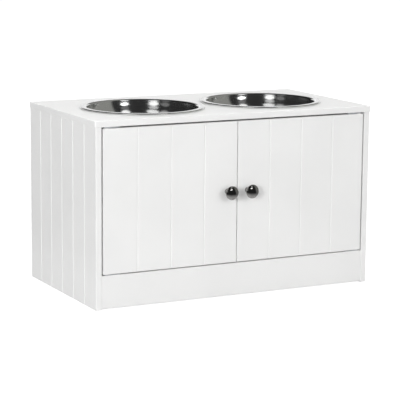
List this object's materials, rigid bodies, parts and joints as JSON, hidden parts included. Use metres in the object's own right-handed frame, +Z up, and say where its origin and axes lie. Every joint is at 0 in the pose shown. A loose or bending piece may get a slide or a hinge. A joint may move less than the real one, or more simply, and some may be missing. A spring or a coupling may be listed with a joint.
{
  "type": "raised pet feeder cabinet",
  "caption": "Low planked storage cabinet with pivoting inset doors, round knobs, a plinth and drop-in round steel bowls in its top.",
  "frame": {"origin": "on the floor at the bottom centre of the overall box, knobs included", "axes": "+Z up, doors face -Y, +X to the right of someone who faces the doors"},
  "size_m": [0.6, 0.3556, 0.3636],
  "materials": {
    "white_paint": "satin white lacquer on fibreboard",
    "beech": "bare turned dowel",
    "zinc": "zinc-plated",
    "polished_steel": "mirror-polished stainless sheet",
    "black_nickel": "polished dark nickel plating",
    "white_nylon": "moulded nylon",
    "magnet": "plain ferrite magnet"
  },
  "bodies": {
    "cabinet": {"top_panel": "white_paint", "side_panel_left": "white_paint", "side_panel_right": "white_paint", "shelf": "white_paint", "plinth_front": "white_paint", "plinth_rear": "white_paint", "door_rail": "white_paint", "back_panel": "white_paint", "dowels": "beech", "cam_bolts": "zinc", "cam_locks": "zinc", "back_screws": "zinc", "pivot_plate_screws": "zinc", "pivot_plate_upper_left": "zinc", "pivot_plate_lower_left": "zinc", "catch_left": "white_nylon", "catch_magnet_left": "magnet", "pivot_plate_upper_right": "zinc", "pivot_plate_lower_right": "zinc", "catch_right": "white_nylon", "catch_magnet_right": "magnet"},
    "door_left": {"door_left": "white_paint", "door_plate_upper_left": "zinc", "pivot_bush_upper_left": "white_nylon", "door_plate_lower_left": "zinc", "pivot_bush_lower_left": "white_nylon", "strike_left": "zinc", "strike_screw_left": "zinc", "door_plate_screws_left": "zinc", "knob_left": "black_nickel", "knob_screw_left": "zinc"},
    "door_right": {"door_right": "white_paint", "door_plate_upper_right": "zinc", "pivot_bush_upper_right": "white_nylon", "door_plate_lower_right": "zinc", "pivot_bush_lower_right": "white_nylon", "strike_right": "zinc", "strike_screw_right": "zinc", "door_plate_screws_right": "zinc", "knob_right": "black_nickel", "knob_screw_right": "zinc"},
    "bowl_left": {"bowl_left": "polished_steel"},
    "bowl_right": {"bowl_right": "polished_steel"}
  },
  "joints": [
    {"name": "door_left_hinge", "type": "hinge", "parent": "cabinet", "child": "door_left", "pos_m": [-0.2755, -0.14575, 0.2065], "axis": [0, 0, -1], "range_deg": [0, 110]},
    {"name": "door_right_hinge", "type": "hinge", "parent": "cabinet", "child": "door_right", "pos_m": [0.2755, -0.14575, 0.2065], "axis": [0, 0, 1], "range_deg": [0, 110]},
    {"name": "bowl_left_lift", "type": "slide", "parent": "cabinet", "child": "bowl_left", "axis": [0, 0, 1], "range_m": [0, 0.12]},
    {"name": "bowl_right_lift", "type": "slide", "parent": "cabinet", "child": "bowl_right", "axis": [0, 0, 1], "range_m": [0, 0.12]}
  ]
}
